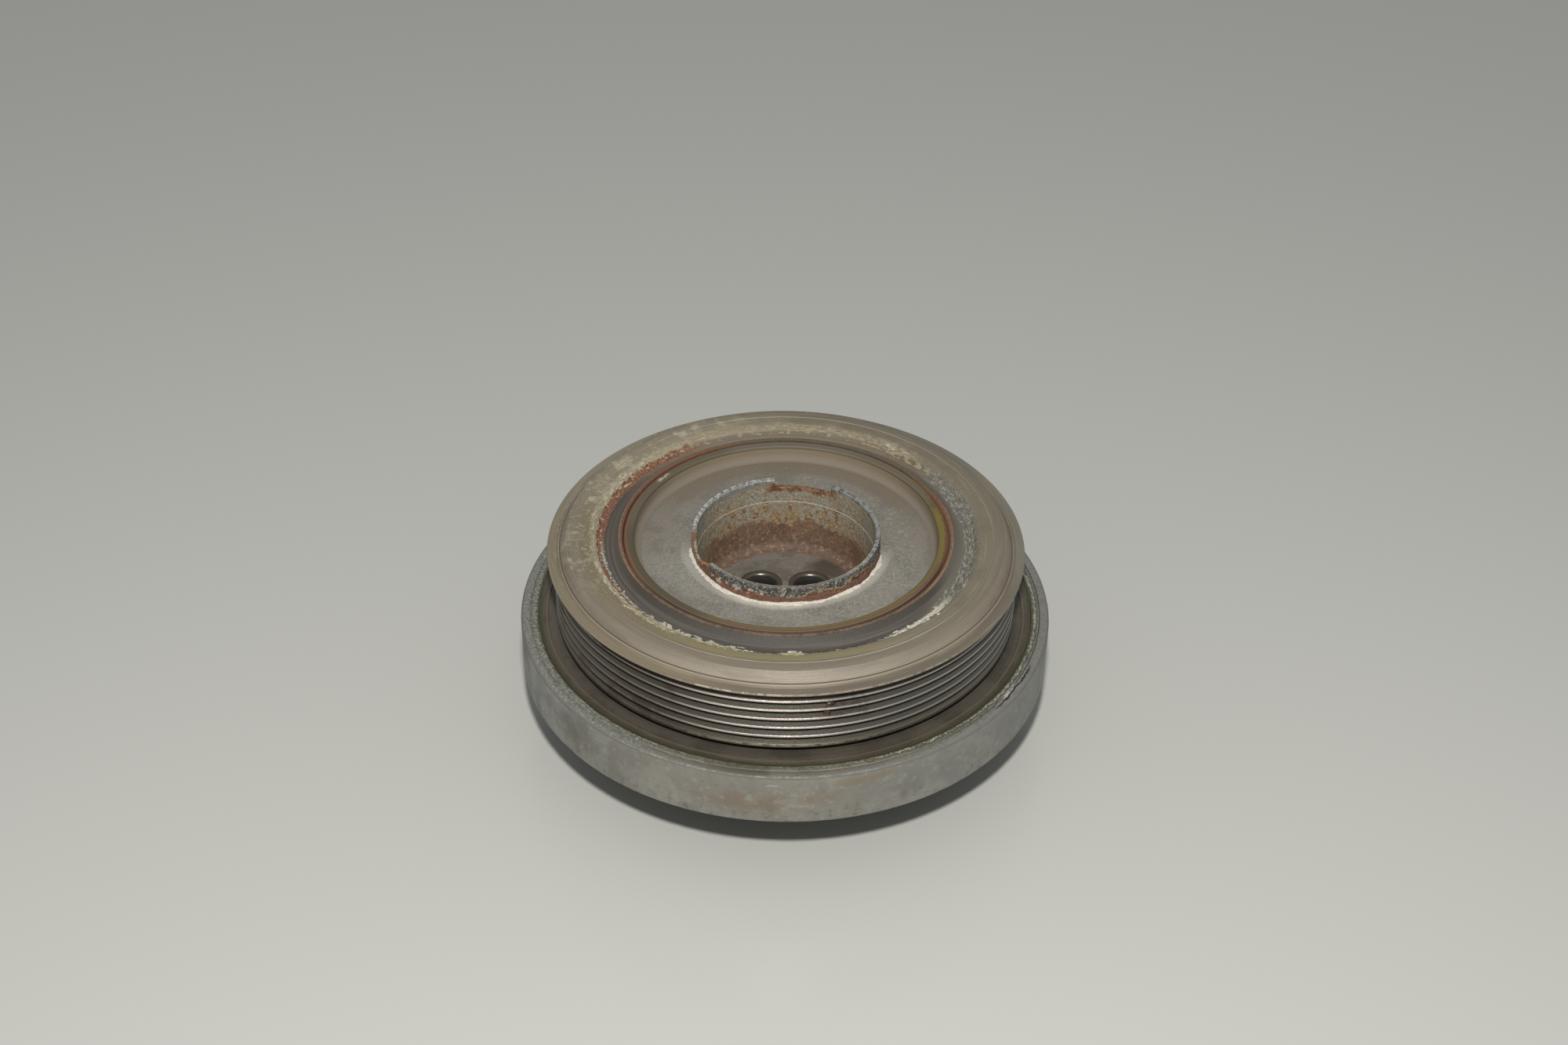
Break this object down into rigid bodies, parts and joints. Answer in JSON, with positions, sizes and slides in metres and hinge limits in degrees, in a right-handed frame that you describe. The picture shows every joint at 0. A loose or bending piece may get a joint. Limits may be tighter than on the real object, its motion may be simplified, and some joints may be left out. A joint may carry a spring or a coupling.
{
  "type": "harmonic balancer",
  "caption": "Crankshaft belt pulley with a rubber-mounted inertia ring, a ribbed belt rim on a decoupling rubber, and a bolt-on hub with a worn open front pot.",
  "frame": {"origin": "on the crank axis at the rear end of the hub's neck, which is the lowest point as it stands", "axes": "+Z along the crank axis, towards the front, away from the engine; the torn stretch of the pot's rim begins on -X (180 degrees), and its other low stretch lies from 60 to 98 degrees, turns counted from +X towards +Y"},
  "size_m": [0.1806, 0.1806, 0.075],
  "materials": {
    "rusty_steel": "dull, stained, rust on edges",
    "cast_ring": "turned, dull and oily",
    "turned_steel": "fine turned, stained",
    "zinc_coated_steel": "matt grey coating, stained",
    "deep_drawn_steel": "plain",
    "bearing_plastic": "matt",
    "rubber": "matt, dusty"
  },
  "bodies": {
    "root": {"hub": "rusty_steel", "damper_rubber": "rubber", "inertia_ring": "cast_ring", "bearing_cup": "deep_drawn_steel", "bearing_bush": "bearing_plastic", "belt_pulley": "turned_steel", "decoupler_rubber": "rubber", "decoupler_sleeve": "rusty_steel", "front_carrier": "zinc_coated_steel"}
  },
  "joints": []
}
